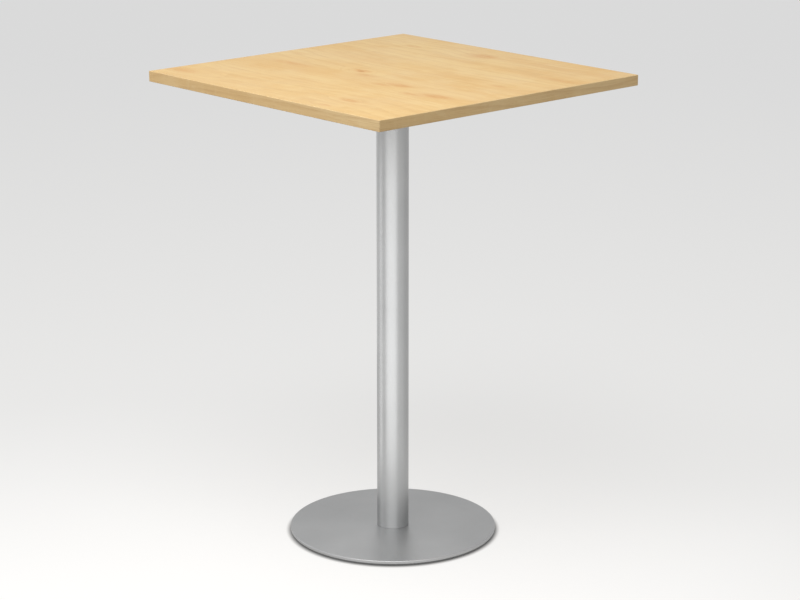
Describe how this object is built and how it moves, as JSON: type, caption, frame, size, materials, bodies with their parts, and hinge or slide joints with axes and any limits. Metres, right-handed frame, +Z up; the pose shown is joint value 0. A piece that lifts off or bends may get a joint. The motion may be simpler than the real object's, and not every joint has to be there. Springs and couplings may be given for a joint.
{
  "type": "bar table",
  "caption": "Square bar table: maple-decor board on a round silver steel column and a flat round base plate with screw levellers.",
  "frame": {"origin": "on the floor, on the column's axis, with the levellers screwed fully in", "axes": "+Z up along the column, X and Y along the edges of the top, the grain along X"},
  "size_m": [0.8, 0.8, 1.12],
  "materials": {
    "maple_decor": "maple print on a melamine sheet, fine satin grain",
    "maple_edge": "maple print on a plastic edge band, satin",
    "chipboard": "raw three layer chipboard",
    "silver_coat": "silver metallic powder coat on steel, satin",
    "bare_steel": "raw turned and welded steel",
    "zinc_steel": "bright zinc plate on steel",
    "insert_alloy": "turned brass",
    "pad_plastic": "moulded black polyamide",
    "sole_rubber": "soft dark rubber"
  },
  "bodies": {
    "table": {"top_decor": "maple_decor", "underside_decor": "maple_decor", "edge_band_front": "maple_edge", "edge_band_right": "maple_edge", "edge_band_rear": "maple_edge", "edge_band_left": "maple_edge", "tabletop_core": "chipboard", "column_tube": "silver_coat", "base_plate": "silver_coat", "mounting_plate": "silver_coat", "column_foot_flange": "bare_steel", "column_top_flange": "bare_steel", "foot_weld_seam": "bare_steel", "top_weld_seam": "bare_steel", "mount_screws": "zinc_steel", "base_screws": "zinc_steel", "tabletop_screws": "zinc_steel", "tabletop_washers": "zinc_steel", "tabletop_inserts": "insert_alloy"},
    "leveller_1_foot": {"leveller_pad_1": "pad_plastic", "leveller_sole_1": "sole_rubber"},
    "leveller_1_screw": {"leveller_stud_1": "zinc_steel"},
    "leveller_2_foot": {"leveller_pad_2": "pad_plastic", "leveller_sole_2": "sole_rubber"},
    "leveller_2_screw": {"leveller_stud_2": "zinc_steel"},
    "leveller_3_foot": {"leveller_pad_3": "pad_plastic", "leveller_sole_3": "sole_rubber"},
    "leveller_3_screw": {"leveller_stud_3": "zinc_steel"},
    "leveller_4_foot": {"leveller_pad_4": "pad_plastic", "leveller_sole_4": "sole_rubber"},
    "leveller_4_screw": {"leveller_stud_4": "zinc_steel"}
  },
  "joints": [
    {"name": "leveller_1_travel", "type": "slide", "parent": "table", "child": "leveller_1_foot", "axis": [0, 0, -1], "range_m": [0, 0.0025]},
    {"name": "leveller_1_turn", "type": "hinge", "parent": "leveller_1_foot", "child": "leveller_1_screw", "pos_m": [0.15203, -0.15203, 0], "axis": [0, 0, -1], "range_deg": [0, 720]},
    {"name": "leveller_2_travel", "type": "slide", "parent": "table", "child": "leveller_2_foot", "axis": [0, 0, -1], "range_m": [0, 0.0025]},
    {"name": "leveller_2_turn", "type": "hinge", "parent": "leveller_2_foot", "child": "leveller_2_screw", "pos_m": [0.15203, 0.15203, 0], "axis": [0, 0, -1], "range_deg": [0, 720]},
    {"name": "leveller_3_travel", "type": "slide", "parent": "table", "child": "leveller_3_foot", "axis": [0, 0, -1], "range_m": [0, 0.0025]},
    {"name": "leveller_3_turn", "type": "hinge", "parent": "leveller_3_foot", "child": "leveller_3_screw", "pos_m": [-0.15203, 0.15203, 0], "axis": [0, 0, -1], "range_deg": [0, 720]},
    {"name": "leveller_4_travel", "type": "slide", "parent": "table", "child": "leveller_4_foot", "axis": [0, 0, -1], "range_m": [0, 0.0025]},
    {"name": "leveller_4_turn", "type": "hinge", "parent": "leveller_4_foot", "child": "leveller_4_screw", "pos_m": [-0.15203, -0.15203, 0], "axis": [0, 0, -1], "range_deg": [0, 720]}
  ],
  "couplings": [
    {"joint": "leveller_1_turn", "follows": "leveller_1_travel", "rad_per_m": 5026.5},
    {"joint": "leveller_2_turn", "follows": "leveller_2_travel", "rad_per_m": 5026.5},
    {"joint": "leveller_3_turn", "follows": "leveller_3_travel", "rad_per_m": 5026.5},
    {"joint": "leveller_4_turn", "follows": "leveller_4_travel", "rad_per_m": 5026.5}
  ]
}
